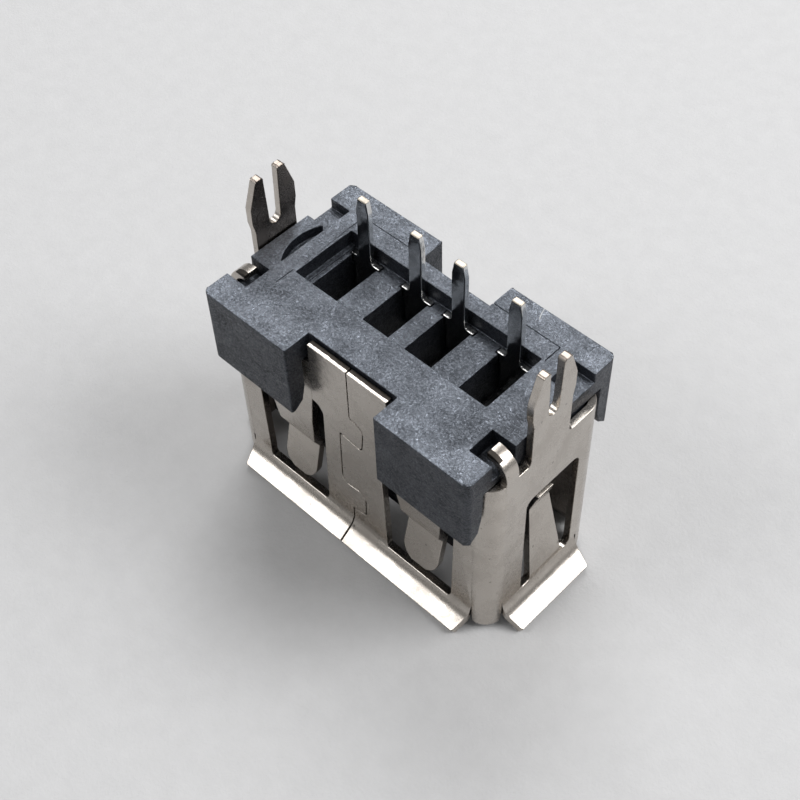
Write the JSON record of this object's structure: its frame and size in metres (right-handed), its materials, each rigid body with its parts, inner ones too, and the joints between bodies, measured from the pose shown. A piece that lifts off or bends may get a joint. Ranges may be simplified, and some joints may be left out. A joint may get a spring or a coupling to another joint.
{
  "type": "usb-a socket",
  "caption": "Upright board socket for a flat plug, with a folded metal shell, spring fingers, forked locks, a dark moulded housing and a row of solder pins.",
  "frame": {"origin": "centre of the shell's opening, on the surface that the flared lips stand on", "axes": "+Z from the mouth towards the board side, +X along the row of pins, -Y through the wall with the seam"},
  "size_m": [0.0148, 0.0074, 0.0129],
  "materials": {
    "shell_metal": "bright nickel plate on stamped steel sheet, with fine specks and scratches",
    "housing_plastic": "satin moulded plastic, dark blue-grey with faint streaks of glass filler",
    "contact_metal": "bright tin plate on stamped strip, nearly a mirror"
  },
  "bodies": {
    "root": {"shell": "shell_metal", "housing": "housing_plastic", "contact_1": "contact_metal", "contact_2": "contact_metal", "contact_3": "contact_metal", "contact_4": "contact_metal"}
  },
  "joints": []
}
